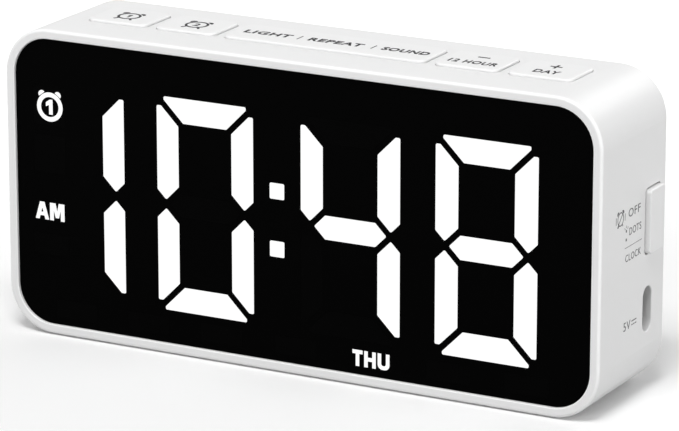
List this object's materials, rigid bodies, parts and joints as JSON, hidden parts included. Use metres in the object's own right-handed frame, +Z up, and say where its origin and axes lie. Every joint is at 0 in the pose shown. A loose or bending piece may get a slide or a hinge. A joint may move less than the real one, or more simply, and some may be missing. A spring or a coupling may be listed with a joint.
{
  "type": "digital alarm clock",
  "caption": "White rounded-box digital alarm clock with large glowing segment digits in a recessed black face, push keys on top and side, and a USB-C power inlet.",
  "frame": {"origin": "on the table under the middle of the clock, between its feet", "axes": "+X to the right seen from the front, +Y towards the back (the display faces -Y), +Z up"},
  "size_m": [0.1613, 0.036, 0.078],
  "materials": {
    "white_plastic": "satin white ABS moulding",
    "black_face": "black acrylic panel",
    "lit_guide": "glowing white light guide",
    "dark_guide": "smoke-tinted light guide, off",
    "reflector_white": "white moulding",
    "board_laminate": "glass-fibre laminate with green lacquer",
    "lamp_resin": "lamp resin",
    "steel": "nickel-plated steel",
    "black_plastic": "black moulding",
    "pin_brass": "gold-flashed brass",
    "foot_rubber": "soft grey-black rubber"
  },
  "bodies": {
    "clock": {"housing": "white_plastic", "rear_cover": "white_plastic", "display_face": "black_face", "lit_segments": "lit_guide", "dark_segments": "dark_guide", "legend_inserts": "dark_guide", "reflector_frame": "reflector_white", "display_board": "board_laminate", "key_board": "board_laminate", "main_board": "board_laminate", "display_leds": "lamp_resin", "display_board_screws": "steel", "key_board_screws": "steel", "main_board_screws": "steel", "rear_cover_screws": "steel", "usb_shell": "steel", "clock_crystal": "steel", "coin_cell": "steel", "cell_contacts": "steel", "key_switch_bodies": "black_plastic", "side_switch_body": "black_plastic", "controller_chip": "black_plastic", "buzzer": "black_plastic", "usb_tongue": "black_plastic", "cell_holder": "black_plastic", "display_header_block": "black_plastic", "key_header_block": "black_plastic", "display_header_pins": "pin_brass", "key_header_pins": "pin_brass", "feet": "foot_rubber"},
    "alarm_1": {"alarm_1_key": "white_plastic", "alarm_1_plunger": "black_plastic"},
    "alarm_2": {"alarm_2_key": "white_plastic", "alarm_2_plunger": "black_plastic"},
    "snooze": {"snooze_bar": "white_plastic", "snooze_plungers": "black_plastic"},
    "minus": {"minus_key": "white_plastic", "minus_plunger": "black_plastic"},
    "plus": {"plus_key": "white_plastic", "plus_plunger": "black_plastic"},
    "side": {"side_key": "white_plastic", "side_plunger": "black_plastic"},
    "cap": {"battery_cap": "white_plastic"}
  },
  "joints": [
    {"name": "alarm_1_press", "type": "slide", "parent": "clock", "child": "alarm_1", "axis": [0, 0, -1], "range_m": [0, 0.0005], "stiffness_N_per_m": 2000},
    {"name": "alarm_2_press", "type": "slide", "parent": "clock", "child": "alarm_2", "axis": [0, 0, -1], "range_m": [0, 0.0005], "stiffness_N_per_m": 2000},
    {"name": "snooze_press", "type": "slide", "parent": "clock", "child": "snooze", "axis": [0, 0, -1], "range_m": [0, 0.0005], "stiffness_N_per_m": 2000},
    {"name": "minus_press", "type": "slide", "parent": "clock", "child": "minus", "axis": [0, 0, -1], "range_m": [0, 0.0005], "stiffness_N_per_m": 2000},
    {"name": "plus_press", "type": "slide", "parent": "clock", "child": "plus", "axis": [0, 0, -1], "range_m": [0, 0.0005], "stiffness_N_per_m": 2000},
    {"name": "side_press", "type": "slide", "parent": "clock", "child": "side", "axis": [-1, 0, 0], "range_m": [0, 0.0005], "stiffness_N_per_m": 2000},
    {"name": "cap_turn", "type": "hinge", "parent": "clock", "child": "cap", "pos_m": [0.024, 0.018, 0.0343], "axis": [0, 1, 0], "range_deg": [0, 45]}
  ]
}
